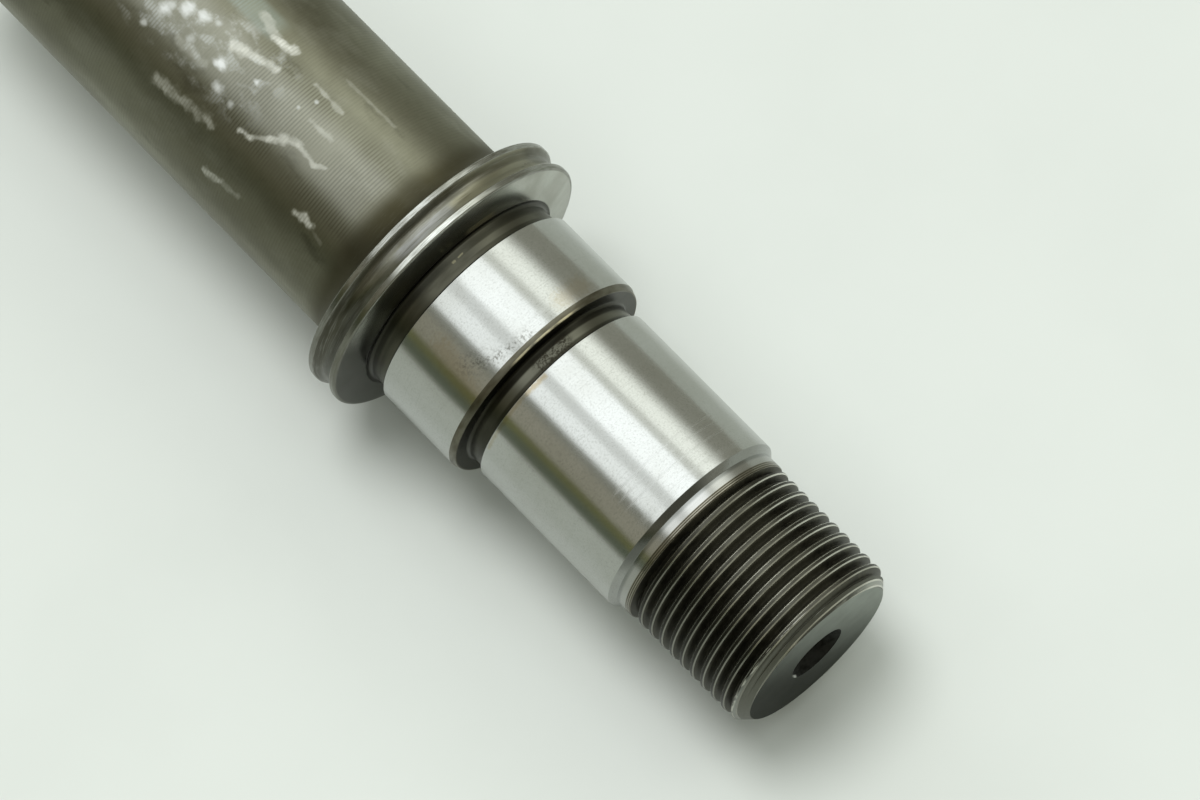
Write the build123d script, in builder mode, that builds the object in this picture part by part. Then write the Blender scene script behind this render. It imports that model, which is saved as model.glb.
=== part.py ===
"""Stepped shaft, turned from one steel bar and ground at its two seats.

The shaft stands on its plain far end, with the axis along +Z, the threaded end on top and the
origin at the centre of the foot. Going up, it has a plain body, a collar with two rims, a big
and a small ground seat with a relief groove below each, a short ground neck, and a right-hand
thread that starts in a run-out groove at the neck. Both ends are centre-drilled. Millimetres.
"""
import os
from math import ceil, radians, tan

from build123d import *

# Diameters.
body_diameter = 33.8
collar_diameter = 44.0
big_seat_diameter = 34.0
small_seat_diameter = 30.0
neck_diameter = 28.2
thread_diameter = 28.0

# Lengths along the axis, from the foot to the threaded end.
body_length = 83.0
collar_width = 5.1
crown_height = 1.0
big_relief_width = 3.4
big_seat_length = 14.3
small_relief_width = 3.0
small_seat_length = 26.4
neck_length = 2.2
thread_length = 21.6

# Collar: two narrow rims with a shallow valley between them, steeper on the side of the body.
# The body runs into the collar in a rounding that leaves a narrow land below the rim's edge.
rim_width = 0.8
rim_edge_break = 0.15
valley_depth = 1.05
valley_steep_side = 0.85
valley_floor = 0.5
collar_root_land = 0.6

# Relief grooves, in which the grinding wheel runs out below each seat.
big_relief_depth = 0.9
small_relief_depth = 0.7
relief_corner = 0.5

# Leads and broken edges.
seat_lead_length = 0.95
big_seat_lead_depth = 0.35
seat_edge_break = 0.2
foot_chamfer = 1.0
thread_chamfer = 1.8

# Thread: a 60 degree V groove that leaves a flat on the crest.
thread_pitch = 2.0
thread_crest_flat = 0.6
thread_flank_angle = 30.0
thread_start_angle = 268.5
runout_width = 1.2

# How far cutters reach past the metal that they cut.
tool_overlap = 0.3

# Centre holes in both ends, for turning and grinding between centres.
centre_mouth_diameter = 9.0
centre_pilot_diameter = 4.0
centre_depth = 12.0
centre_cone_angle = 60.0

# Radii that follow from the sizes above.
body_radius = body_diameter / 2
collar_radius = collar_diameter / 2
collar_root_rounding = collar_radius - body_radius - collar_root_land
valley_radius = collar_radius - valley_depth
big_seat_radius = big_seat_diameter / 2
big_relief_radius = big_seat_radius - big_relief_depth
small_seat_radius = small_seat_diameter / 2
small_relief_radius = small_seat_radius - small_relief_depth
neck_radius = neck_diameter / 2
thread_radius = thread_diameter / 2
thread_flank_rise = (thread_pitch - thread_crest_flat) / 2
thread_depth = thread_flank_rise / tan(radians(thread_flank_angle))
thread_root_radius = thread_radius - thread_depth
runout_root_radius = neck_radius - runout_width / 2 / tan(radians(thread_flank_angle))
runout_far_rise = (thread_radius - runout_root_radius) * tan(radians(thread_flank_angle))

# Heights above the foot that follow from the lengths above.
collar_bottom = body_length
valley_bottom = collar_bottom + rim_width + valley_steep_side
valley_top = valley_bottom + valley_floor
collar_top = collar_bottom + collar_width
crown_top = collar_top + crown_height
big_seat_bottom = crown_top + big_relief_width
big_seat_top = big_seat_bottom + big_seat_length
small_seat_bottom = big_seat_top + small_relief_width
small_seat_top = small_seat_bottom + small_seat_length
neck_top = small_seat_top + neck_length
shaft_length = neck_top + thread_length

# The thread is cut from the middle of its run-out groove into spare metal past the end. The
# run-out groove has the thread's own V form and is a little shallower.
path_bottom = neck_top + runout_width / 2
thread_turns = ceil((shaft_length + thread_pitch / 2 - path_bottom) / thread_pitch)
spare_top = path_bottom + (thread_turns + 1) * thread_pitch


def corner(sketch, radius, height):
    """The vertex of a half section that lies at this radius and height."""
    return sketch.vertices().sort_by_distance((radius, height))[0]


# The threading tool's right-hand path, one turn at a time, turned to where the thread starts.
with BuildLine() as unturned_path:
    for turn in range(thread_turns):
        turn_bottom = path_bottom + turn * thread_pitch
        Helix(thread_pitch, thread_pitch, thread_root_radius, center=(0, 0, turn_bottom))
tool_path = unturned_path.wire().rotate(Axis.Z, thread_start_angle)

# The plane across the path's start, which holds the tool's form with its X pointing outwards.
outwards = Vector(1, 0).rotate(Axis.Z, thread_start_angle)
tool_plane = Plane(tool_path @ 0, x_dir=outwards, z_dir=outwards.rotate(Axis.Z, 90))

with BuildPart() as shaft:
    # The turned blank: one half section revolved about the axis, with spare metal on top.
    with BuildSketch(Plane.XZ) as section:
        with BuildLine():
            Polyline(
                (0, 0),
                (body_radius, 0),
                (body_radius, collar_bottom),
                (collar_radius, collar_bottom),
                (collar_radius, collar_bottom + rim_width),
                (valley_radius, valley_bottom),
                (valley_radius, valley_top),
                (collar_radius, collar_top - rim_width),
                (collar_radius, collar_top),
                (big_seat_radius, crown_top),
                (big_relief_radius, crown_top),
                (big_relief_radius, big_seat_bottom),
                (big_seat_radius, big_seat_bottom),
                (big_seat_radius, big_seat_top - seat_lead_length),
                (big_seat_radius - big_seat_lead_depth, big_seat_top),
                (small_relief_radius, big_seat_top),
                (small_relief_radius, small_seat_bottom),
                (small_seat_radius, small_seat_bottom),
                (small_seat_radius, small_seat_top - seat_lead_length),
                (neck_radius, small_seat_top),
                (neck_radius, neck_top),
                (runout_root_radius, path_bottom),
                (thread_radius, path_bottom + runout_far_rise),
                (thread_radius, spare_top),
                (0, spare_top),
                close=True,
            )
        make_face()
        chamfer(corner(section, collar_radius, collar_bottom), rim_edge_break)
        chamfer(corner(section, collar_radius, collar_top), rim_edge_break)
        fillet(corner(section, body_radius, collar_bottom), collar_root_rounding)
        chamfer(corner(section, big_relief_radius, crown_top), relief_corner)
        chamfer(corner(section, small_relief_radius, big_seat_top), relief_corner)
        chamfer(corner(section, big_seat_radius, big_seat_bottom), seat_edge_break)
        chamfer(corner(section, small_seat_radius, small_seat_bottom), seat_edge_break)
        chamfer(corner(section, body_radius, 0), foot_chamfer)
    revolve(axis=Axis.Z)

    # The thread: a V carried along the helix, from the run-out groove into the spare metal.
    with BuildSketch(tool_plane) as tool_form:
        half_back = thread_flank_rise + tool_overlap * tan(radians(thread_flank_angle))
        with BuildLine():
            Polyline(
                (0, 0),
                (thread_depth + tool_overlap, half_back),
                (thread_depth + tool_overlap, -half_back),
                close=True,
            )
        make_face()
    sweep(path=tool_path, is_frenet=True, mode=Mode.SUBTRACT)

    # Facing off the spare metal and chamfering the first turns of the thread.
    with BuildSketch(Plane.XZ) as facing_cut:
        with BuildLine():
            Polyline(
                (0, shaft_length),
                (thread_radius - thread_chamfer, shaft_length),
                (thread_radius + tool_overlap, shaft_length - thread_chamfer - tool_overlap),
                (thread_radius + tool_overlap, spare_top + tool_overlap),
                (0, spare_top + tool_overlap),
                close=True,
            )
        make_face()
    revolve(axis=Axis.Z, mode=Mode.SUBTRACT)

    # A centre hole in each end face.
    with Locations((0, 0, shaft_length), Location((0, 0, 0), (180, 0, 0))):
        CounterSinkHole(
            centre_pilot_diameter / 2,
            centre_mouth_diameter / 2,
            depth=centre_depth,
            counter_sink_angle=centre_cone_angle,
        )

shaft.part.label = "shaft"

os.makedirs("parts", exist_ok=True)
export_step(shaft.part, "parts/shaft.step")
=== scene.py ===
"""Looks of the stepped shaft: its turned, ground and threaded surfaces, stained and worn.

The shaft stands on its foot with the axis along +Z. Sizes are in millimetres from the axis and
from the foot, and the mesh is made in metres. Angles round the axis are in degrees: 0 faces -Y,
the side that the camera sees, and they grow towards +X.
"""
from math import acos, ceil, cos, pi, radians, sin, tan

import bmesh
import bpy
from mathutils import Matrix, Vector


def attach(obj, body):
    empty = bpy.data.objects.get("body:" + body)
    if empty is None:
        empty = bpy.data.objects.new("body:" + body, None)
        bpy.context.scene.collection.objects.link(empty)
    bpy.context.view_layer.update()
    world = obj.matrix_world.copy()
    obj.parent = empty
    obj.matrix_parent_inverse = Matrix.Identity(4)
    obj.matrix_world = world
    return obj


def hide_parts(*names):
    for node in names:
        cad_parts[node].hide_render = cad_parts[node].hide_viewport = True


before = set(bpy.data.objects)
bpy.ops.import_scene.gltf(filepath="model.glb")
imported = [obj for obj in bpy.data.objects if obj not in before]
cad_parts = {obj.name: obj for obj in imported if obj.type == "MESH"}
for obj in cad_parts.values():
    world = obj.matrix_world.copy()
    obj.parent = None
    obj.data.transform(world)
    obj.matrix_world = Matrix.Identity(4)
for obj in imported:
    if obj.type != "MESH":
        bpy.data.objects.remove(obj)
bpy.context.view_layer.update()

# Plain body: rough-turned steel, with fine feed marks under a dark oily film, pale dried smears,
# painted glints as bright spots, a painted highlight down its front, and painted shade on its
# shaded side, in a streak on its lit side and at the front of its root. It is the first stretch
# of one turned piece, so the finishes and the turning that every later stretch needs are made
# here.
MM = 0.001


class Socket:
    """An output of a node. Arithmetic on it adds Math nodes, and node() adds any other node."""

    def __init__(self, tree, output):
        self.tree = tree
        self.output = output

    def plug(self, target, value):
        """Gives an input a link, a colour or a plain value."""
        if isinstance(value, Socket):
            self.tree.links.new(value.output, target)
        elif isinstance(value, tuple) and target.type == "RGBA":
            target.default_value = (*value, 1.0)
        else:
            target.default_value = value

    def node(self, kind, settings, inputs, output=0):
        """Adds a node of this kind: its settings first, then its inputs."""
        made = self.tree.nodes.new(kind)
        for name, value in settings.items():
            setattr(made, name, value)
        for name, value in inputs.items():
            self.plug(made.inputs[name], value)
        return Socket(self.tree, made.outputs[output])

    def maths(self, operation, *values):
        settings = {"operation": operation}
        return self.node("ShaderNodeMath", settings, dict(enumerate(values)))

    def __add__(self, other):
        return self.maths("ADD", self, other)

    def __radd__(self, other):
        return self.maths("ADD", other, self)

    def __sub__(self, other):
        return self.maths("SUBTRACT", self, other)

    def __rsub__(self, other):
        return self.maths("SUBTRACT", other, self)

    def __mul__(self, other):
        return self.maths("MULTIPLY", self, other)

    def __rmul__(self, other):
        return self.maths("MULTIPLY", other, self)

    def __truediv__(self, other):
        return self.maths("DIVIDE", self, other)

    def __rtruediv__(self, other):
        return self.maths("DIVIDE", other, self)

    def clamp(self):
        return self.node("ShaderNodeClamp", {}, {"Value": self})

    def most(self, other):
        return self.maths("MAXIMUM", self, other)

    def step(self, low, high):
        """0 at low, 1 at high and smooth between; low may be the larger."""
        limits = {"Value": self, "From Min": low, "From Max": high}
        return self.node("ShaderNodeMapRange", {"interpolation_type": "SMOOTHSTEP"}, limits)

    def band(self, low, high, edge):
        """1 between low and high, fading to 0 over one edge width outside them."""
        return self.step(low - edge, low) * self.step(high + edge, high)

    def blend(self, first, second):
        """Mixes two colours, with this socket as the share of the second."""
        factor, colour_a, colour_b, mixed = 0, 6, 7, 2
        inputs = {factor: self, colour_a: first, colour_b: second}
        return self.node("ShaderNodeMix", {"data_type": "RGBA"}, inputs, output=mixed)


class Finish:
    """One material of the shaft, with sockets for where a point of it is (mm and degrees)."""

    finishes = []
    # A mark is full up to the first of these shares of its width, and fades out at the second.
    MARK_FULL, MARK_GONE = 0.1, 1.3
    REFLECTIVITY = 0.4
    ROUND_THE_SHAFT = 0.25

    def __init__(self, name):
        self.material = bpy.data.materials.new(name)
        self.material.use_nodes = True
        self.tree = self.material.node_tree
        self.shader = self.tree.nodes["Principled BSDF"]
        self.root = Socket(self.tree, None)
        object_place = self.root.node("ShaderNodeTexCoord", {}, {}, output=3)
        place = self.root.node(
            "ShaderNodeVectorMath", {"operation": "SCALE"}, {0: object_place, "Scale": 1 / MM}
        )
        self.x, self.y, self.z = [
            self.root.node("ShaderNodeSeparateXYZ", {}, {0: place}, output=k) for k in range(3)
        ]
        self.angle = self.root.maths("ARCTAN2", self.x, -1 * self.y) * (180 / pi)
        self.index = len(Finish.finishes)
        Finish.finishes.append(self)

    def noise(self, around, along, detail=3.0, roughness=0.55, seed=0.0):
        """Noise from 0 to 1 with that many grains per mm around the shaft and along it."""
        grains = {0: self.x * around + seed, 1: self.y * around, 2: self.z * along}
        place = self.root.node("ShaderNodeCombineXYZ", {}, grains)
        settings = {"noise_dimensions": "3D"}
        inputs = {"Vector": place, "Scale": 1.0, "Detail": detail, "Roughness": roughness}
        return self.root.node("ShaderNodeTexNoise", settings, inputs)

    def mark(self, radius, start, end, width, ragged):
        """A ragged stroke from start to end, each an angle (degrees) and a height (mm)."""
        reach = pi / 180 * radius
        across, along = (end[0] - start[0]) * reach, end[1] - start[1]
        from_x, from_z = (self.angle - start[0]) * reach, self.z - start[1]
        length_squared = max(across**2 + along**2, 0.01)
        share = ((from_x * across + from_z * along) / length_squared).clamp()
        far_x, far_z = from_x - share * across, from_z - share * along
        away = self.root.maths("SQRT", far_x * far_x + far_z * far_z) + ragged * width
        return away.step(width * Finish.MARK_GONE, width * Finish.MARK_FULL)

    def set(self, colour, roughness, metallic=1.0, bump=None, bump_mm=0.004, anisotropy=0.0):
        """Feeds the shader. Anisotropy is for steel with fine lines round the shaft."""
        self.root.plug(self.shader.inputs["Base Color"], colour)
        self.shader.inputs["Specular IOR Level"].default_value = Finish.REFLECTIVITY
        self.root.plug(self.shader.inputs["Roughness"], roughness)
        self.root.plug(self.shader.inputs["Metallic"], metallic)
        self.shader.inputs["Anisotropic"].default_value = anisotropy
        self.shader.inputs["Anisotropic Rotation"].default_value = Finish.ROUND_THE_SHAFT
        if bump is not None:
            heights = {"Height": bump, "Distance": bump_mm * MM, "Strength": 1.0}
            normal = self.root.node("ShaderNodeBump", {}, heights)
            self.root.plug(self.shader.inputs["Normal"], normal)


# The skin of the shaft is one mesh, made stretch by stretch from the foot to the threaded end.
# Its rings start where the thread does, so that the two meet.
STEPS = 192
START_ANGLE = radians(268.5)
ARC_STEP = radians(9)
skin = bmesh.new()


def rounded(corners):
    """An outline's points, from (radius, height, rounding) corners whose roundings become arcs."""
    points = []
    for k, (radius, height, rounding) in enumerate(corners):
        here = Vector((radius, height))
        if rounding == 0:
            points.append(here)
            continue
        back = (Vector(corners[k - 1][:2]) - here).normalized()
        ahead = (Vector(corners[k + 1][:2]) - here).normalized()
        half = acos(max(-1, min(1, back.dot(ahead)))) / 2
        centre = here + (back + ahead).normalized() * rounding / sin(half)
        first = here + back * rounding / tan(half) - centre
        sweep = first.angle_signed(here + ahead * rounding / tan(half) - centre)
        parts = max(3, ceil(abs(sweep) / ARC_STEP))
        for part in range(parts + 1):
            points.append(centre + Matrix.Rotation(-sweep * part / parts, 2) @ first)
    return points


def ring(radius, height):
    """One turn of vertices about the axis."""
    angles = [START_ANGLE + 2 * pi * k / STEPS for k in range(STEPS)]
    return [
        skin.verts.new((radius * MM * cos(angle), radius * MM * sin(angle), height * MM))
        for angle in angles
    ]


def turn(corners, finish):
    """Revolves an outline about the axis and gives its faces a finish."""
    rings = [ring(*point) for point in rounded(corners)]
    for low, high in zip(rings, rings[1:]):
        for k in range(STEPS):
            after = (k + 1) % STEPS
            face = skin.faces.new((low[k], low[after], high[after], high[k]))
            face.material_index = finish.index
            face.smooth = True


BODY_RADIUS = 16.9
FOOT_CHAMFER = 1.0
FEED = 0.5
COLLAR_BOTTOM = 83.0
COLLAR_RADIUS = 22.0
ROOT_ROUNDING = 4.499
BODY_END = (COLLAR_RADIUS - 0.25, COLLAR_BOTTOM, 0)
CENTRE_MOUTH = 4.5
CENTRE_PILOT = 2.0
CENTRE_DEPTH = 12.0
CENTRE_CONE = (CENTRE_MOUTH - CENTRE_PILOT) / tan(radians(30))

CLEAN_STEEL, FILMED_STEEL = (0.30, 0.295, 0.225), (0.20, 0.192, 0.138)
PALE_PATCH, DARK_PATCH = (0.38, 0.375, 0.31), (0.12, 0.115, 0.08)
ROOT_OIL, ROOT_SHADE = (0.09, 0.08, 0.045), (0.045, 0.038, 0.018)
FEED_LINE = (0.05, 0.05, 0.035)
FINE_LINE_AND_SHADE_STREAK = (0.14, 0.135, 0.10)
PAINTED_SIDE_SHADE = (0.085, 0.08, 0.055)
PAINTED_FRONT_HIGHLIGHT = (0.40, 0.40, 0.38)
TEAL_OIL = (0.42, 0.50, 0.48)
DRY_SMEAR, PAINTED_GLINT = (0.70, 0.70, 0.64), (0.80, 0.82, 0.82)

body = Finish("turned_body")
feed = body.root.maths("SINE", body.z * (2 * pi / FEED) + 5 * body.noise(0.03, 0.03))
feed = feed * body.z.step(78.5, 76.0) * body.noise(0.06, 0.1, seed=5.0).step(0.25, 0.6)
film = body.noise(0.05, 0.04, detail=6.0)
patches = body.noise(0.20, 0.10, detail=6.0, roughness=0.6, seed=40.0)
fine = body.noise(0.6, 6.0, detail=3.0)
tone = film.step(0.35, 0.68).blend(CLEAN_STEEL, FILMED_STEEL)
tone = (patches.step(0.5, 0.72) * 0.45).blend(tone, PALE_PATCH)
tone = (patches.step(0.42, 0.28) * 0.6).blend(tone, DARK_PATCH)
root_dark = body.z.step(76.0, 80.0)
tone = (root_dark * 0.9).blend(tone, ROOT_OIL)
# Painted shade: the front of the root, next to the collar, darkened more.
root_front_painted_shade = body.z.step(76.5, 79.5) * body.angle.band(-18, 20, 12)
tone = (root_front_painted_shade * 0.6).blend(tone, ROOT_SHADE)
lined = 0.10 + 0.36 * body.angle.band(-16, 18, 8) * body.z.band(54, 78, 8)
tone = (feed.step(-0.6, 1.0) * lined).blend(tone, FEED_LINE)
tone = (fine.step(0.5, 0.8) * 0.35).blend(tone, FINE_LINE_AND_SHADE_STREAK)
# Painted shade: the body darkened on its shaded side, from about 20 to 70 degrees.
side_shade = body.angle.step(-2, 20) * body.angle.step(72, 60)
tone = (side_shade * 0.35).blend(tone, PAINTED_SIDE_SHADE)
# Painted shade: a darker streak along the body on its lit side.
tone = (body.angle.band(-22, -13, 5) * 0.2).blend(tone, FINE_LINE_AND_SHADE_STREAK)
# Painted highlight: a lighter grey band down the front of the body, below the root.
tone = (body.angle.band(-9, 9, 8) * body.z.step(79, 75) * 0.2).blend(tone, PAINTED_FRONT_HIGHLIGHT)
teal = body.angle.band(-31, -22, 4) * body.z.band(37, 48, 3) * (0.4 + 0.6 * feed.step(-1.0, 0.8))
tone = (teal * 0.4).blend(tone, TEAL_OIL)

# Dried smears on the body: start and end (degrees, mm), half width (mm) and strength of each.
SMEARS = [
    ((31.5, 42.0), (30.5, 45.0), 1.1, 0.5),
    ((30.5, 45.0), (27.0, 52.0), 1.0, 0.45),
    ((19.5, 56.0), (17.5, 58.2), 0.5, 0.8),
    ((17.5, 58.2), (12.8, 60.0), 0.4, 0.5),
    ((12.8, 60.0), (8.0, 61.3), 0.6, 0.75),
    ((8.0, 61.3), (5.0, 63.6), 0.65, 0.8),
    ((5.0, 63.6), (6.2, 67.2), 0.4, 0.55),
    ((6.2, 67.2), (3.5, 68.7), 0.4, 0.6),
    ((50.0, 55.0), (47.5, 57.5), 0.8, 0.6),
    ((47.5, 57.5), (46.0, 61.0), 0.5, 0.25),
    ((29.0, 69.5), (27.5, 71.0), 0.6, 0.6),
    ((27.5, 71.0), (28.0, 72.5), 0.7, 0.7),
    ((28.5, 72.5), (31.0, 75.0), 0.35, 0.15),
    ((-34.0, 61.0), (-34.5, 70.5), 0.3, 0.25),
    ((-7.0, 62.5), (-8.0, 66.5), 0.5, 0.35),
    ((-21.0, 59.0), (-20.0, 64.5), 0.4, 0.4),
    ((-27.5, 46.0), (-23.0, 51.0), 0.8, 0.5),
    ((-22.5, 50.0), (-25.0, 53.2), 0.7, 1.0),
    ((-6.5, 47.2), (-9.5, 50.5), 0.9, 0.9),
    ((-9.5, 50.5), (-12.5, 53.6), 0.8, 0.8),
    ((10.0, 41.0), (9.0, 46.0), 0.9, 0.3),
]
# The larger painted glints, as bright spots: middle, half width and strength of each.
PAINTED_GLINT_SPOTS = [
    ((3.5, 47.6), 1.1, 1.0),
    ((12.5, 49.6), 0.9, 0.75),
    ((13.8, 52.6), 0.6, 0.5),
    ((-2.0, 53.2), 0.6, 0.75),
    ((5.5, 42.0), 0.7, 0.4),
    ((-6.0, 41.2), 1.1, 0.85),
    ((-8.8, 43.2), 0.6, 0.4),
    ((-3.0, 38.7), 1.3, 0.8),
    ((1.2, 36.6), 0.9, 0.55),
    ((4.4, 36.3), 1.2, 0.85),
    ((15.6, 35.4), 0.6, 0.6),
    ((-7.5, 59.9), 0.35, 0.4),
    ((-15.0, 61.0), 0.35, 0.5),
]
smear_edge = (body.noise(0.7, 0.7, detail=2.5) - 0.5) * 2.8
glint_spot_edge = (body.noise(0.9, 0.6, detail=2.0, seed=33.0) - 0.5) * 1.7
smear = 0
for start, end, width, strength in SMEARS:
    smear = (body.mark(BODY_RADIUS, start, end, width, smear_edge) * strength).most(smear)
lumps = body.noise(0.7, 0.7, detail=1.5, seed=61.0).step(0.3, 0.65)
smear = smear * (0.7 + 0.3 * lumps) * (0.7 + 0.3 * feed.step(-1.0, 0.4))
glint_spot = 0
for middle, width, strength in PAINTED_GLINT_SPOTS:
    glint_spot = (body.mark(BODY_RADIUS, middle, middle, width, glint_spot_edge) * strength).most(glint_spot)
# Painted glints: bright flecks on the lit front of the body, along the feed lines.
bright = body.angle.band(-16, 16, 9) * body.z.band(34, 53, 6)
glint_flecks = body.noise(0.5, 0.35, detail=3.0, seed=9.0).step(0.48, 0.68) * bright
glint_flecks = glint_flecks * (0.35 + 0.65 * feed.step(-1.0, 0.8)) * 0.4
tone = smear.blend(tone, DRY_SMEAR)
tone = (glint_spot.most(glint_flecks) * 0.85).blend(tone, PAINTED_GLINT)
body.set(
    tone,
    0.28 + 0.18 * film + 0.12 * patches + 0.25 * smear + 0.10 * root_dark,
    metallic=1.0 - 0.7 * smear.most(glint_spot),
    bump=feed * 0.5 + fine * 0.5 + smear,
    bump_mm=0.008,
    anisotropy=0.45,
)

# Centre holes: 60 degree cones drilled in both ends, which held the bar between centres while it
# was turned. They are painted near black inside, as painted shade in the deep cones, with a
# painted highlight on one side of the lip at the threaded end.
HOLE_GREY, HOLE_BLACK = (0.030, 0.030, 0.027), (0.012, 0.012, 0.010)
PAINTED_LIP_HIGHLIGHT = (0.60, 0.61, 0.58)

centre = Finish("centre_hole")
grit = centre.noise(0.8, 1.5, detail=4.0)
# Painted shade: the cones are coloured near black inside.
tone = grit.step(0.4, 0.7).blend(HOLE_GREY, HOLE_BLACK)
# Painted highlight: a bright crescent on one side of the lip at the threaded end.
lip_highlight = centre.angle.band(80, 108, 8) * centre.z.band(159.75, 160.1, 0.15)
tone = (lip_highlight * grit.step(0.2, 0.6)).blend(tone, PAINTED_LIP_HIGHLIGHT)
centre.set(tone, 0.35 + 0.25 * grit)

turn(
    [
        (0, CENTRE_DEPTH, 0),
        (CENTRE_PILOT, CENTRE_DEPTH, 0),
        (CENTRE_PILOT, CENTRE_CONE, 0),
        (CENTRE_MOUTH, 0, 0),
    ],
    centre,
)
turn(
    [
        (CENTRE_MOUTH, 0, 0),
        (BODY_RADIUS - FOOT_CHAMFER, 0, 0),
        (BODY_RADIUS, FOOT_CHAMFER, 0),
        (BODY_RADIUS, COLLAR_BOTTOM, ROOT_ROUNDING),
        BODY_END,
    ],
    body,
)

# Collar: turned steel with two rims, worn bright on their edges, and a rounded valley between
# them. Its coned front falls away to the first relief groove. The valley, the front rim and the
# coned front carry painted highlights and painted shade.
COLLAR_TOP = 88.1
RIM_WIDTH = 0.8
VALLEY_RADIUS = 20.95
VALLEY_BOTTOM = 84.65
VALLEY_TOP = 85.15
CROWN_TOP = 89.1
CROWN_RADIUS = 17.0
BACK_RIM_END = (COLLAR_RADIUS - 0.12, COLLAR_BOTTOM + RIM_WIDTH + 0.1, 0)
FRONT_RIM_START = (COLLAR_RADIUS - 0.06, COLLAR_TOP - RIM_WIDTH - 0.08, 0)
FRONT_RIM_END = (COLLAR_RADIUS - 0.45, COLLAR_TOP + 0.09, 0)
CROWN_END = (CROWN_RADIUS - 0.1, CROWN_TOP, 0)

COLLAR_STEEL, COLLAR_STAIN = (0.29, 0.285, 0.24), (0.16, 0.15, 0.105)
PAINTED_BLUE_HIGHLIGHT, PAINTED_TAN_HIGHLIGHT = (0.40, 0.405, 0.42), (0.50, 0.47, 0.34)
VALLEY_PAINTED_LIGHT, VALLEY_PAINTED_SHADE = (0.47, 0.45, 0.34), (0.07, 0.068, 0.052)
VALLEY_FLOOR_SHADE = (0.09, 0.085, 0.065)
TURNED_LINE = (0.42, 0.415, 0.39)

collar = Finish("collar")
grain = collar.noise(0.25, 8.0, detail=4.0)
mottle = collar.noise(0.22, 0.6, detail=6.0, roughness=0.6, seed=11.0)
tone = mottle.step(0.35, 0.7).blend(COLLAR_STEEL, COLLAR_STAIN)
# Painted highlights: blue and tan ones along the valley, and a lighter lit side further round.
valley_highlight = collar.z.band(85.6, 86.9, 0.5) * (0.35 + 0.65 * grain.step(0.35, 0.6))
tone = (valley_highlight * collar.angle.band(-18, 4, 6) * 0.6).blend(tone, PAINTED_BLUE_HIGHLIGHT)
tone = (valley_highlight * collar.angle.band(-34, -22, 4) * 0.6).blend(tone, PAINTED_TAN_HIGHLIGHT)
tone = (collar.angle.band(-62, -34, 8) * 0.7).blend(tone, VALLEY_PAINTED_LIGHT)
# Painted shade: the valley darker on its shaded side, and in its deep part by the back rim.
tone = (collar.angle.step(18, 38) * 0.75).blend(tone, VALLEY_PAINTED_SHADE)
tone = (collar.z.band(84.2, 85.0, 0.4) * 0.6).blend(tone, VALLEY_FLOOR_SHADE)
tone = (grain.step(0.5, 0.75) * 0.4).blend(tone, TURNED_LINE)
collar.set(tone, 0.20 + 0.12 * mottle + 0.08 * grain, bump=grain, anisotropy=0.3)

RIM_BRIGHT, RIM_WORN = (0.52, 0.525, 0.50), (0.26, 0.255, 0.225)
RIM_SCUFF = (0.22, 0.215, 0.18)
RIM_SHADE = (0.13, 0.125, 0.10)
FRONT_RIM_DULL, FRONT_RIM_PAINTED_SHINE = (0.17, 0.167, 0.13), (0.78, 0.79, 0.75)

rim = Finish("worn_rim")
nick = rim.noise(0.5, 7.0, detail=4.0)
scuff = rim.noise(0.12, 0.2, detail=3.0, seed=21.0)
tone = nick.step(0.35, 0.7).blend(RIM_BRIGHT, RIM_WORN)
tone = (scuff.step(0.4, 0.7) * 0.5).blend(tone, RIM_SCUFF)
tone = (rim.angle.step(5, 40) * 0.55).blend(tone, RIM_SHADE)
front_rim = rim.z.step(87.0, 87.1)
tone = (front_rim * 0.4).blend(tone, FRONT_RIM_DULL)
# Painted highlight: a shine on the front rim's lit front, broken by the nicks.
painted_shine = front_rim * rim.angle.band(-22, 4, 12) * (0.45 + 0.55 * nick.step(0.38, 0.58))
tone = (painted_shine * 0.85).blend(tone, FRONT_RIM_PAINTED_SHINE)
rim.set(tone, 0.18 + 0.12 * nick, bump=nick)

CROWN_BRIGHT, CROWN_HAZE = (0.58, 0.59, 0.54), (0.40, 0.40, 0.35)
CROWN_PAINTED_SHADE, CROWN_FRONT_PAINTED_SHADE = (0.06, 0.06, 0.05), (0.12, 0.12, 0.09)
CROWN_PAINTED_HIGHLIGHT = (0.95, 0.90, 0.68)

crown = Finish("collar_front")
haze = crown.noise(0.15, 0.15, detail=5.0)
tone = haze.step(0.3, 0.7).blend(CROWN_BRIGHT, CROWN_HAZE)
# Painted shade: dark on the shaded side, and darker in front, where it mirrors the dark groove.
tone = (crown.angle.band(55, 120, 25) * 0.9).blend(tone, CROWN_PAINTED_SHADE)
tone = (crown.angle.band(-18, 22, 14) * 0.6).blend(tone, CROWN_FRONT_PAINTED_SHADE)
# Painted highlight: a cream streak at the inner edge, on the lit side.
highlight_streak = crown.angle.band(-35, -24, 5) * crown.z.band(88.94, 89.08, 0.05)
tone = highlight_streak.blend(tone, CROWN_PAINTED_HIGHLIGHT)
crown.set(tone, 0.17 + 0.12 * haze, bump=haze)

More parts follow.
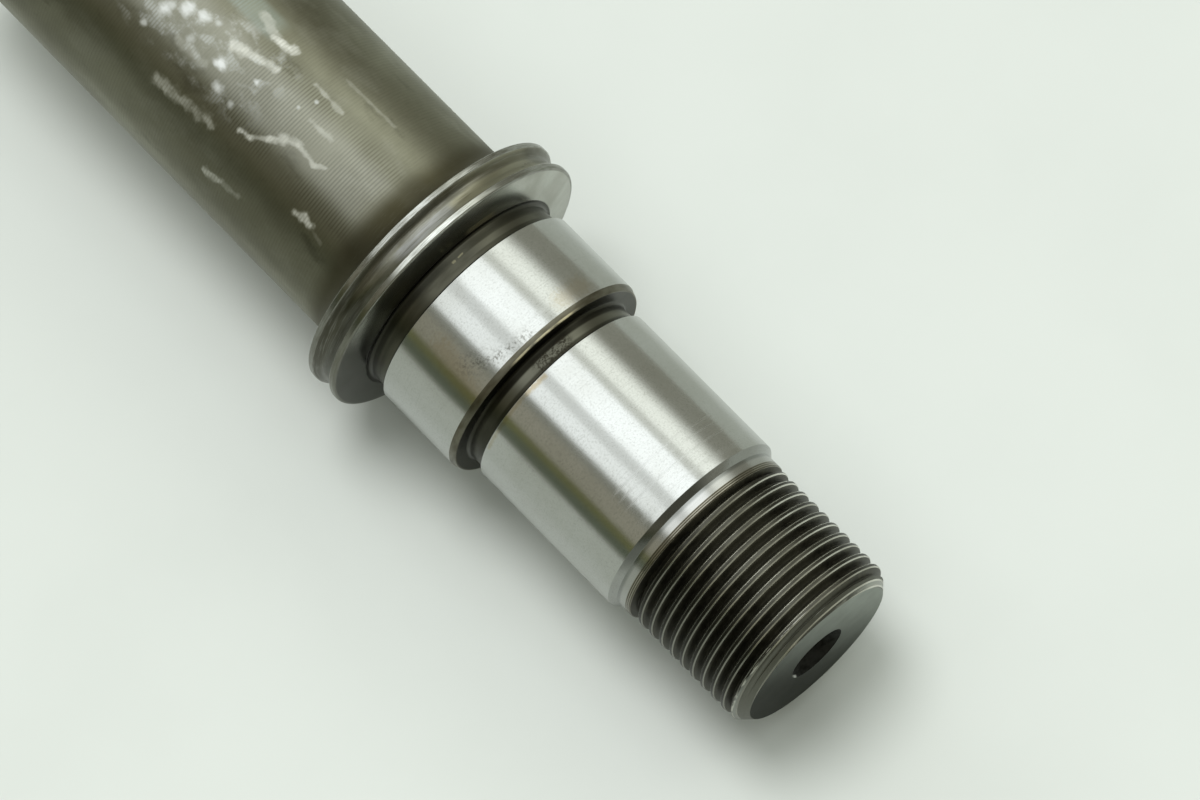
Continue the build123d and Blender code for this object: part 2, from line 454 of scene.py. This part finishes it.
turn(
    [
        BODY_END,
        (COLLAR_RADIUS, COLLAR_BOTTOM, 0.2),
        (COLLAR_RADIUS, COLLAR_BOTTOM + RIM_WIDTH, 0.12),
        BACK_RIM_END,
    ],
    rim,
)
turn(
    [
        BACK_RIM_END,
        (VALLEY_RADIUS + 0.08, VALLEY_BOTTOM - 0.12, 0.9),
        (VALLEY_RADIUS - 0.02, VALLEY_TOP + 0.05, 1.6),
        (VALLEY_RADIUS + 0.32, VALLEY_TOP + 1.0, 3.0),
        FRONT_RIM_START,
    ],
    collar,
)
turn(
    [
        FRONT_RIM_START,
        (COLLAR_RADIUS, COLLAR_TOP - RIM_WIDTH, 0.08),
        (COLLAR_RADIUS, COLLAR_TOP, 0.35),
        FRONT_RIM_END,
    ],
    rim,
)
turn([FRONT_RIM_END, (CROWN_RADIUS, CROWN_TOP, 0.08), CROWN_END], crown)

# Relief grooves: turned below each seat for the grinding wheel to run out in, and left black and
# brown, with no polish, with painted shade under the crown and under the big seat's lead. The
# first is made here. The second comes after the big seat, and is darker, with rust and a lighter
# ring on its floor that fades out towards the shaded side.
BIG_RELIEF_RADIUS = 16.1
BIG_SEAT_RADIUS = 17.0
BIG_SEAT_BOTTOM = 92.5
RELIEF_CORNER = 0.5
EDGE_BREAK = 0.2
BIG_RELIEF_END = (BIG_SEAT_RADIUS - EDGE_BREAK, BIG_SEAT_BOTTOM, 0)

SCALE_LIGHT, SCALE_DARK = (0.105, 0.102, 0.078), (0.058, 0.056, 0.042)
SECOND_GROOVE = (0.03, 0.029, 0.022)
SHADE_UNDER_CROWN = (0.036, 0.035, 0.027)
LIT_FLOOR = (0.20, 0.195, 0.155)
SHADOW_UNDER_LEAD = (0.014, 0.013, 0.009)
LIGHTER_FLOOR_RING = (0.21, 0.207, 0.165)
RUST = (0.035, 0.031, 0.022)
CRUMB = (0.27, 0.25, 0.16)

relief = Finish("relief_groove")
scale = relief.noise(0.12, 0.8, detail=4.0)
rust = relief.noise(2.6, 3.2, detail=4.0, roughness=0.7, seed=13.0)
tone = scale.step(0.3, 0.75).blend(SCALE_LIGHT, SCALE_DARK)
tone = (relief.z.step(100, 101) * 0.55).blend(tone, SECOND_GROOVE)
# Painted shade in the corner under the crown, deeper on the shaded side.
shade = relief.z.step(90.7, 90.1) * (0.45 + 0.45 * relief.angle.step(-15, 8))
tone = shade.blend(tone, SHADE_UNDER_CROWN)
lit = relief.z.band(90.8, 91.5, 0.25) * relief.angle.band(-60, -24, 12)
tone = (lit * 0.45).blend(tone, LIT_FLOOR)
# Painted shadow: a black line on the second groove's floor under the big seat's lead.
lead_shadow = relief.z.band(107.0, 107.8, 0.3) * (0.25 + 0.55 * relief.angle.band(-24, 22, 12))
tone = lead_shadow.blend(tone, SHADOW_UNDER_LEAD)
# A lighter ring on the floor, fading out towards the shaded side.
floor_ring = relief.z.band(108.2, 109.0, 0.35) * relief.angle.step(50, 10)
floor_ring = floor_ring * (0.7 + 0.3 * scale.step(0.3, 0.7))
tone = (floor_ring * 0.75).blend(tone, LIGHTER_FLOOR_RING)
spread = relief.angle.band(-22, -4, 7) * relief.z.band(107.8, 109.6, 0.4)
tone = (rust.step(0.44, 0.56) * spread * 0.85).blend(tone, RUST)
crumb_edge = (rust - 0.5) * 2.5
for start, end, width in [((-8, 90.5), (-9, 90.5), 0.2), ((-14.5, 90.4), (-11.5, 90.45), 0.12)]:
    crumb = relief.mark(BIG_RELIEF_RADIUS, start, end, width, crumb_edge)
    tone = (crumb * 0.55).blend(tone, CRUMB)
relief.set(
    tone,
    0.26 + 0.12 * scale + 0.3 * spread * rust,
    bump=scale + rust * spread * 3,
    bump_mm=0.01,
)

turn(
    [
        CROWN_END,
        (BIG_RELIEF_RADIUS, CROWN_TOP, RELIEF_CORNER),
        (BIG_RELIEF_RADIUS, BIG_SEAT_BOTTOM, 0.15),
        BIG_RELIEF_END,
    ],
    relief,
)

# Big and small seats: cylinders ground bright, with fine grinding lines, a fine speckle, rub
# marks and a few scratches. Each ends in a lead, and the big seat's one is stained.
BIG_SEAT_TOP = 106.8
LEAD_LENGTH = 0.95
BIG_LEAD_RADIUS = BIG_SEAT_RADIUS - 0.35
SMALL_RELIEF_RADIUS = 14.3
SMALL_SEAT_RADIUS = 15.0
SMALL_SEAT_BOTTOM = 109.8
SMALL_SEAT_TOP = 136.2
NECK_RADIUS = 14.1
BIG_SEAT_END = (BIG_SEAT_RADIUS, BIG_SEAT_TOP - LEAD_LENGTH, 0)
BIG_LEAD_END = (BIG_LEAD_RADIUS - 0.2, BIG_SEAT_TOP, 0)
SMALL_RELIEF_END = (SMALL_SEAT_RADIUS - EDGE_BREAK, SMALL_SEAT_BOTTOM, 0)
SMALL_LEAD_END = (NECK_RADIUS + 0.05, SMALL_SEAT_TOP - 0.05, 0)

GROUND_BRIGHT, GROUND_CLOUD = (0.62, 0.63, 0.62), (0.54, 0.545, 0.52)
GRINDING_LINE, SPECKLE = (0.36, 0.36, 0.33), (0.34, 0.34, 0.32)
SMUT, BROWN_STAIN = (0.12, 0.115, 0.095), (0.46, 0.37, 0.22)
SHADED_LEAD = (0.11, 0.112, 0.10)

seat = Finish("ground_seat")
lines = seat.noise(0.05, 9.0, detail=3.0)
clouds = seat.noise(0.10, 0.07, detail=5.0, seed=7.0)
speckle = seat.noise(3.2, 4.2, detail=3.0, roughness=0.65, seed=17.0)
waver = seat.noise(0.35, 0.06, detail=4.0, seed=29.0)
tone = clouds.step(0.3, 0.75).blend(GROUND_BRIGHT, GROUND_CLOUD)
tone = (lines.step(0.56, 0.75) * 0.22).blend(tone, GRINDING_LINE)
tone = (speckle.step(0.45, 0.75) * 0.38).blend(tone, SPECKLE)
smut = seat.noise(2.0, 2.0, detail=4.0, roughness=0.7, seed=23.0)
smut_edge = (smut - 0.5) * 2.0
rubbed = seat.mark(BIG_SEAT_RADIUS, (22, 101.8), (10, 104.2), 2.2, smut_edge) * 0.7
rubbed = rubbed.most(seat.mark(BIG_SEAT_RADIUS, (10, 104.4), (-9, 105.2), 1.1, smut_edge))
tone = (smut.step(0.47, 0.62) * rubbed * 0.8).blend(tone, SMUT)
brown = seat.mark(SMALL_SEAT_RADIUS, (12, 110.3), (-1, 110.4), 0.5, smut_edge)
for radius, start, end, width, strength in [
    (SMALL_SEAT_RADIUS, (14, 110.3), (52, 110.4), 0.35, 0.6),
    (BIG_SEAT_RADIUS, (-46, 104.0), (-33, 104.4), 1.9, 0.5),
    (BIG_SEAT_RADIUS, (24, 98.0), (30, 105.5), 2.2, 0.5),
]:
    brown = brown.most(seat.mark(radius, start, end, width, smut_edge) * strength)
tone = (brown * 0.7).blend(tone, BROWN_STAIN)
shaded = seat.z.step(135.2, 135.3) * (0.35 + 0.5 * seat.angle.band(-12, 34, 18))
tone = shaded.blend(tone, SHADED_LEAD)
scratch = (seat.z.band(103.7, 104.1, 0.3) * 0.6).most(seat.z.band(128.5, 128.7, 0.3))
scratch = scratch.most(seat.z.band(129.8, 129.9, 0.2)).most(seat.z.band(131.3, 131.4, 0.3))
scratch = scratch.most(seat.z.band(133.6, 134.3, 0.3) * 0.6)
scratch = scratch * seat.noise(0.12, 2.0).step(0.36, 0.55) * seat.angle.band(-50, 12, 12)
seat.set(
    tone,
    0.12 + 0.07 * clouds + 0.03 * lines + 0.05 * speckle + 0.11 * scratch,
    bump=lines + speckle * 0.6 + waver * 7,
    bump_mm=0.0018,
    anisotropy=0.5,
)

LEAD_STEEL, LEAD_STAIN = (0.20, 0.19, 0.15), (0.11, 0.10, 0.07)
LEAD_GLINT = (0.66, 0.60, 0.40)

lead = Finish("stained_lead")
stain = lead.noise(0.3, 1.0, detail=5.0, seed=3.0)
tone = stain.step(0.3, 0.7).blend(LEAD_STEEL, LEAD_STAIN)
glint = lead.angle.band(-30, 0, 8) * lead.z.band(106.55, 106.78, 0.08) * stain.step(0.35, 0.6)
tone = glint.blend(tone, LEAD_GLINT)
lead.set(tone, 0.24 + 0.15 * stain, bump=stain)

turn(
    [
        BIG_RELIEF_END,
        (BIG_SEAT_RADIUS, BIG_SEAT_BOTTOM + EDGE_BREAK, 0.1),
        BIG_SEAT_END,
    ],
    seat,
)
turn([BIG_SEAT_END, (BIG_LEAD_RADIUS, BIG_SEAT_TOP, 0.1), BIG_LEAD_END], lead)
turn(
    [
        BIG_LEAD_END,
        (SMALL_RELIEF_RADIUS, BIG_SEAT_TOP, RELIEF_CORNER),
        (SMALL_RELIEF_RADIUS, SMALL_SEAT_BOTTOM, 0.15),
        SMALL_RELIEF_END,
    ],
    relief,
)
turn(
    [
        SMALL_RELIEF_END,
        (SMALL_SEAT_RADIUS, SMALL_SEAT_BOTTOM + EDGE_BREAK, 0.1),
        (SMALL_SEAT_RADIUS, SMALL_SEAT_TOP - LEAD_LENGTH, 0.1),
        SMALL_LEAD_END,
    ],
    seat,
)

# Neck: a bright ground ring, with painted shade on its sides and by the seat's lead, then a ring
# of fine tool lines up to the run-out groove, whose near side has the thread's own slope.
NECK_TOP = 138.4
SCORE_PITCH = 0.3
FLANK = tan(radians(30))
RUNOUT_WIDTH = 1.2
RUNOUT_ROOT = NECK_RADIUS - RUNOUT_WIDTH / 2 / FLANK
NECK_END = (NECK_RADIUS - 0.14, NECK_TOP + 0.14 * FLANK, 0)

NECK_BRIGHT, NECK_DULL = (0.58, 0.58, 0.57), (0.42, 0.42, 0.39)
NECK_SIDE_SHADE, NECK_CORNER_SHADE = (0.22, 0.22, 0.19), (0.20, 0.21, 0.20)
SCORED_RING, SCORE_LINE = (0.27, 0.248, 0.188), (0.07, 0.06, 0.04)

neck = Finish("neck")
scored = neck.z.band(137.65, 138.6, 0.05)
score = neck.root.maths("SINE", neck.z * (2 * pi / SCORE_PITCH)).step(-0.4, 0.5) * scored
ground = neck.noise(0.1, 9.0)
tone = (ground * 0.5).blend(NECK_BRIGHT, NECK_DULL)
# Painted shade: the neck darker on both sides of its front, and by the seat's lead.
tone = (neck.angle.band(-34, 30, 14) * -0.25 + 0.25).blend(tone, NECK_SIDE_SHADE)
tone = (neck.z.step(136.9, 136.4) * 0.65).blend(tone, NECK_CORNER_SHADE)
tone = (scored * 0.8).blend(tone, SCORED_RING)
tone = (score * 0.9).blend(tone, SCORE_LINE)
neck.set(tone, 0.18 + 0.1 * ground, bump=-1 * score, bump_mm=0.02, anisotropy=0.4)
turn(
    [
        SMALL_LEAD_END,
        (NECK_RADIUS, SMALL_SEAT_TOP, 0.1),
        (NECK_RADIUS, NECK_TOP, 0.12),
        NECK_END,
    ],
    neck,
)

# Thread: a right-hand V groove, black with old oil, with bruised bright edges. It is a helical
# strip one pitch wide, wound from below the run-out groove to past the end, and held inside the
# run-out groove, the lead chamfer and the end face.
SHAFT_TOP = 160.0
THREAD_PITCH = 2.0
CREST_FLAT = 0.6
THREAD_RADIUS = 14.0
FLANK_RISE = (THREAD_PITCH - CREST_FLAT) / 2
THREAD_ROOT = THREAD_RADIUS - FLANK_RISE / FLANK
THREAD_CHAMFER = 1.8
ROOT_ARC_RISE = 0.1
EDGE_LOW, EDGE_HIGH = 0.07, 0.10
PATH_BOTTOM = NECK_TOP + RUNOUT_WIDTH / 2

GROOVE_BLACK, GROOVE_SOOT = (0.062, 0.060, 0.048), (0.115, 0.110, 0.084)
GROOVE_LIT, GROOVE_SHADE = (0.145, 0.140, 0.112), (0.045, 0.043, 0.034)
GROOVE_LAST_TURN = (0.17, 0.17, 0.145)

thread = Finish("thread_groove")
soot = thread.noise(0.8, 1.5, detail=5.0, roughness=0.65)
tone = soot.step(0.35, 0.7).blend(GROOVE_BLACK, GROOVE_SOOT)
tone = (thread.angle.band(-36, -4, 10) * 0.55).blend(tone, GROOVE_LIT)
tone = (thread.angle.step(5, 30) * 0.5).blend(tone, GROOVE_SHADE)
tone = (thread.z.step(158.3, 158.9) * 0.85).blend(tone, GROOVE_LAST_TURN)
thread.set(tone, 0.34 + 0.2 * soot, bump=soot, bump_mm=0.02)

CREST_GREY, CREST_RUBBED = (0.082, 0.080, 0.066), (0.045, 0.043, 0.034)
CREST_LIT, CREST_SHADE = (0.135, 0.130, 0.105), (0.030, 0.029, 0.024)
CHAMFER_GREY = (0.16, 0.16, 0.14)
CHAMFER_SIDE_REFLECTION, CHAMFER_FAR_SIDE_REFLECTION = (0.38, 0.39, 0.36), (0.52, 0.53, 0.49)
BRUISE = (0.62, 0.61, 0.55)

crest = Finish("thread_crest")
rub = crest.noise(0.5, 3.0, detail=5.0)
tone = rub.step(0.3, 0.7).blend(CREST_GREY, CREST_RUBBED)
tone = (crest.angle.band(-36, -8, 10) * 0.2).blend(tone, CREST_LIT)
tone = (crest.angle.step(-5, 28) * 0.9).blend(tone, CREST_SHADE)
cone = crest.z.step(158.15, 158.3)
tone = (cone * 0.8).blend(tone, CHAMFER_GREY)
# Painted reflections: the chamfer lighter on both sides, where it mirrors the pale table.
tone = (cone * crest.angle.step(15, 75) * 0.6).blend(tone, CHAMFER_SIDE_REFLECTION)
tone = (cone * crest.angle.step(-40, -70) * 0.8).blend(tone, CHAMFER_FAR_SIDE_REFLECTION)
bruise = crest.z.band(158.15, 158.35, 0.08).most(crest.z.band(159.7, 160, 0.08) * 0.45)
bruise = bruise * rub.step(0.45, 0.6)
tone = (bruise * 0.8).blend(tone, BRUISE)
crest.set(tone, 0.28 + 0.18 * rub, bump=rub, bump_mm=0.006)

EDGE_BRIGHT, EDGE_WORN = (0.88, 0.87, 0.80), (0.48, 0.47, 0.41)
EDGE_SHADE = (0.19, 0.187, 0.16)

edge = Finish("thread_edge")
gleam = edge.noise(0.12, 0.3, detail=3.0)
tone = gleam.step(0.3, 0.7).blend(EDGE_BRIGHT, EDGE_WORN)
tone = (edge.angle.step(0, 30) * 0.85).blend(tone, EDGE_SHADE)
edge.set(tone, 0.18 + 0.12 * gleam)


def flank_radius(rise):
    """The radius of the flank at this distance along the axis from the groove's middle."""
    return THREAD_ROOT + rise / FLANK


# Half of the strip's section, from the groove's middle to the crest's: rise, radius, and the
# finish of what follows. The other half mirrors it.
half_section = [
    (0.0, flank_radius(0.6 * ROOT_ARC_RISE), thread),
    (ROOT_ARC_RISE, flank_radius(ROOT_ARC_RISE), thread),
    (FLANK_RISE / 2, flank_radius(FLANK_RISE / 2), thread),
    (FLANK_RISE - EDGE_LOW, flank_radius(FLANK_RISE - EDGE_LOW), edge),
    (FLANK_RISE + EDGE_HIGH, THREAD_RADIUS, crest),
    (THREAD_PITCH / 2, THREAD_RADIUS, crest),
]
section = [(-rise, radius) for rise, radius, _ in half_section[:0:-1]]
section += [(rise, radius) for rise, radius, _ in half_section]
strip_finishes = [finish for _, _, finish in half_section[-2::-1]]
strip_finishes += [finish for _, _, finish in half_section[:-1]]


def held(radius, height):
    """A point of the thread, held inside the groove, the chamfer and the end faces around it."""
    height = min(max(height, PATH_BOTTOM), SHAFT_TOP)
    runout = RUNOUT_ROOT + (height - PATH_BOTTOM) / FLANK
    chamfer = THREAD_RADIUS - (height - SHAFT_TOP + THREAD_CHAMFER)
    return min(radius, runout, chamfer), height


def wind(first_turn, last_turn, parts):
    """One length of the strip, each stretch of the thread's section split into equal parts."""
    columns = []
    for k in range(round(first_turn * STEPS), round(last_turn * STEPS) + 1):
        angle = START_ANGLE + 2 * pi * k / STEPS
        middle = PATH_BOTTOM + THREAD_PITCH * k / STEPS
        column = []
        for (rise, radius), (next_rise, next_radius) in zip(section, section[1:] + section[-1:]):
            for part in range(parts if rise < section[-1][0] else 1):
                share = part / parts
                point_radius = radius + share * (next_radius - radius)
                point_rise = rise + share * (next_rise - rise)
                point_radius, height = held(point_radius, middle + point_rise)
                place = (point_radius * cos(angle), point_radius * sin(angle), height)
                column.append(skin.verts.new(Vector(place) * MM))
        columns.append(column)
    for column, following in zip(columns, columns[1:]):
        for k in range(len(column) - 1):
            face = skin.faces.new((column[k], following[k], following[k + 1], column[k + 1]))
            face.material_index = strip_finishes[k // parts].index
            face.smooth = True


# The strip, in turns from the path's bottom. It is split finely where the run-out groove or the
# chamfer cuts its section short.
STRIP_START, FULL_FORM_START, FULL_FORM_END, STRIP_END = -1.1, 0.85, 9.05, 11.1
FINE_PARTS = 4
wind(STRIP_START, FULL_FORM_START, FINE_PARTS)
wind(FULL_FORM_START, FULL_FORM_END, 1)
wind(FULL_FORM_END, STRIP_END, FINE_PARTS)
turn([NECK_END, (RUNOUT_ROOT, PATH_BOTTOM, 0)], thread)

# End face: satin turned steel, with painted shade over one side, around the black centre hole. The
# skin is complete with it, so the stretches are joined into the one piece here.
FACE_BRIGHT, FACE_SATIN = (0.50, 0.54, 0.49), (0.42, 0.45, 0.41)
FACE_PAINTED_SHADE = (0.048, 0.052, 0.042)
FACE_TINT = (0.6, 0.6, 0.6, 1)
WELD = 0.002
SHARP_EDGE = radians(28)

face_finish = Finish("end_face")
satin = face_finish.noise(0.3, 0.3, detail=5.0)
tone = satin.step(0.3, 0.7).blend(FACE_BRIGHT, FACE_SATIN)
# Painted shade: the face darkens towards its shaded side.
face_shade = (face_finish.x + 0.5 * face_finish.y).step(-13, 7)
tone = face_shade.blend(tone, FACE_PAINTED_SHADE)
face_finish.shader.inputs["Specular Tint"].default_value = FACE_TINT
face_finish.set(tone, 0.26 + 0.1 * satin, bump=satin, bump_mm=0.006)
turn([(THREAD_RADIUS - THREAD_CHAMFER, SHAFT_TOP, 0), (CENTRE_MOUTH, SHAFT_TOP, 0)], face_finish)
turn(
    [
        (CENTRE_MOUTH, SHAFT_TOP, 0),
        (CENTRE_PILOT, SHAFT_TOP - CENTRE_CONE, 0),
        (CENTRE_PILOT, SHAFT_TOP - CENTRE_DEPTH, 0),
        (0, SHAFT_TOP - CENTRE_DEPTH, 0),
    ],
    centre,
)

bmesh.ops.remove_doubles(skin, verts=skin.verts, dist=WELD * MM)
mesh = bpy.data.meshes.new("turned_shaft")
skin.to_mesh(mesh)
skin.free()
for finish in Finish.finishes:
    mesh.materials.append(finish.material)
mesh.set_sharp_from_angle(angle=SHARP_EDGE)
shaft = bpy.data.objects.new("turned_shaft", mesh)
bpy.context.collection.objects.link(shaft)
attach(shaft, "root")
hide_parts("shaft")

# Table: a pale board that the shaft lies against, turned and leant a little from the camera's
# plane. It shows from the front only, so that the shaft can be looked at from behind, and the
# steel mirrors it duller than it looks, dullest away from the shaft.
TABLE_TURN = radians(14)
TABLE_LEAN = radians(3)
TABLE_SIZE = 1.6
TABLE_GAP = 0.3
BOARD_PALE, BOARD_SMUDGED = (0.625, 0.655, 0.625), (0.605, 0.635, 0.605)
MIRRORED_FAR, MIRRORED_NEAR = (0.385, 0.405, 0.37), (0.495, 0.52, 0.49)

table_out = Vector((-sin(TABLE_TURN), -cos(TABLE_TURN), 0))
table_across = Vector((0, 0, 1)).cross(table_out)
table_out.rotate(Matrix.Rotation(TABLE_LEAN, 3, table_across))
table_up = table_out.cross(table_across)
middle = Vector((0, 0, COLLAR_TOP)) * MM - table_out * (COLLAR_RADIUS + TABLE_GAP) * MM
corners = [(-1, -1), (1, -1), (1, 1), (-1, 1)]
places = [middle + (table_across * a + table_up * b) * TABLE_SIZE / 2 for a, b in corners]
table_mesh = bpy.data.meshes.new("table")
table_mesh.from_pydata(places, [], [(0, 1, 2, 3)])
table = bpy.data.objects.new("table", table_mesh)
bpy.context.collection.objects.link(table)

board = bpy.data.materials.new("table_board")
board.use_nodes = True
root = Socket(board.node_tree, None)
place = root.node("ShaderNodeTexCoord", {}, {}, output=3)
smudge = root.node("ShaderNodeTexNoise", {}, {"Vector": place, "Scale": 30.0, "Detail": 4.0})
colour = smudge.step(0.3, 0.8).blend(BOARD_PALE, BOARD_SMUDGED)
across = root.node("ShaderNodeSeparateXYZ", {}, {0: place}) / MM
near = root.maths("ABSOLUTE", across).step(60, 26)
mirrored = near.blend(MIRRORED_FAR, MIRRORED_NEAR)
seen = root.node("ShaderNodeLightPath", {}, {}, output=0)
colour = seen.blend(mirrored, colour)
base = root.node("ShaderNodeBsdfDiffuse", {}, {"Color": colour})
clear = root.node("ShaderNodeBsdfTransparent", {}, {})
behind = root.node("ShaderNodeNewGeometry", {}, {}, output=6)
shown = root.node("ShaderNodeMixShader", {}, {0: behind, 1: base, 2: clear})
root.plug(board.node_tree.nodes["Material Output"].inputs["Surface"], shown)
table_mesh.materials.append(board)

# Room: what the steel mirrors, as a colour for each direction round the shaft's axis. A lit strip
# and two bright windows, with the dim gap of whoever looks on between the windows, stand in a
# dull wall that is olive further round.
LIT_STRIP, WINDOW_LIGHT = (1.32, 1.37, 1.26), (1.58, 1.65, 1.63)
WALL_DULL, WALL_PALE = (0.24, 0.245, 0.20), (0.30, 0.305, 0.25)
WALL_TAN, WALL_OLIVE, WALL_GREEN = (0.335, 0.325, 0.255), (0.14, 0.145, 0.052), (0.10, 0.12, 0.082)
BACKDROP = (0.80, 0.84, 0.80)

world = bpy.data.worlds.new("room")
bpy.context.scene.world = world
world.use_nodes = True
sky = Socket(world.node_tree, None)
toward = sky.node("ShaderNodeTexCoord", {}, {}, output=0)
toward_x, toward_y, toward_z = [
    sky.node("ShaderNodeSeparateXYZ", {}, {0: toward}, output=k) for k in range(3)
]
round_axis = sky.maths("ARCTAN2", toward_x, -1 * toward_y) * (180 / pi)
window = round_axis.band(-36, -9, 4).most(round_axis.band(6, 22, 4) * 0.76)
window = window.most(round_axis.band(-9, 6, 4) * 0.48)
strip = round_axis.step(-81, -60) * round_axis.step(-44, -50)
strip = strip.most(round_axis.band(-50, -36, 4) * 0.5)
open_above = toward_z.step(0.6, 0.2)
light = round_axis.step(-60, -80).blend(WALL_DULL, WALL_PALE)
light = (strip * open_above).blend(light, LIT_STRIP)
light = (window * open_above).blend(light, WINDOW_LIGHT)
light = round_axis.band(36, 54, 4).blend(light, WALL_TAN)
light = round_axis.band(58, 64, 3).blend(light, WALL_OLIVE)
light = round_axis.band(67, 75, 3).blend(light, WALL_GREEN)
seen = sky.node("ShaderNodeLightPath", {}, {}, output=0)
light = seen.blend(light, BACKDROP)
sky.plug(world.node_tree.nodes["Background"].inputs["Color"], light)

# Lamp: the ceiling light above the table, which gives the shaft its soft shadow and doesn't show
# in the steel.
LAMP_TOWARD = Vector((0.19, 0.93, 0.27))
sun = bpy.data.lights.new("ceiling_light", "SUN")
sun.energy = 1.45
sun.angle = radians(26)
lamp = bpy.data.objects.new("ceiling_light", sun)
bpy.context.collection.objects.link(lamp)
lamp.rotation_mode = "QUATERNION"
lamp.rotation_quaternion = LAMP_TOWARD.to_track_quat("-Z", "Y")
lamp.visible_glossy = False

# Camera: a long lens in front of the shaft and above it, rolled so that the shaft runs down to
# the right with the threaded end nearest. Its place and aim are in metres.
CAMERA_PLACE = Vector((0, -0.9114, 0.366))
AIM = Vector((-0.0033, 0, 0.114))
ROLL = radians(135.21)
lens = bpy.data.cameras.new("camera")
lens.lens = 210
lens.sensor_width = 36
lens.clip_end = 20
camera = bpy.data.objects.new("camera", lens)
bpy.context.collection.objects.link(camera)
camera.location = CAMERA_PLACE
look = (AIM - camera.location).to_track_quat("-Z", "Y")
camera.rotation_mode = "QUATERNION"
camera.rotation_quaternion = look @ Matrix.Rotation(ROLL, 3, "Z").to_quaternion()
bpy.context.scene.camera = camera
bpy.context.scene.view_settings.view_transform = "Standard"
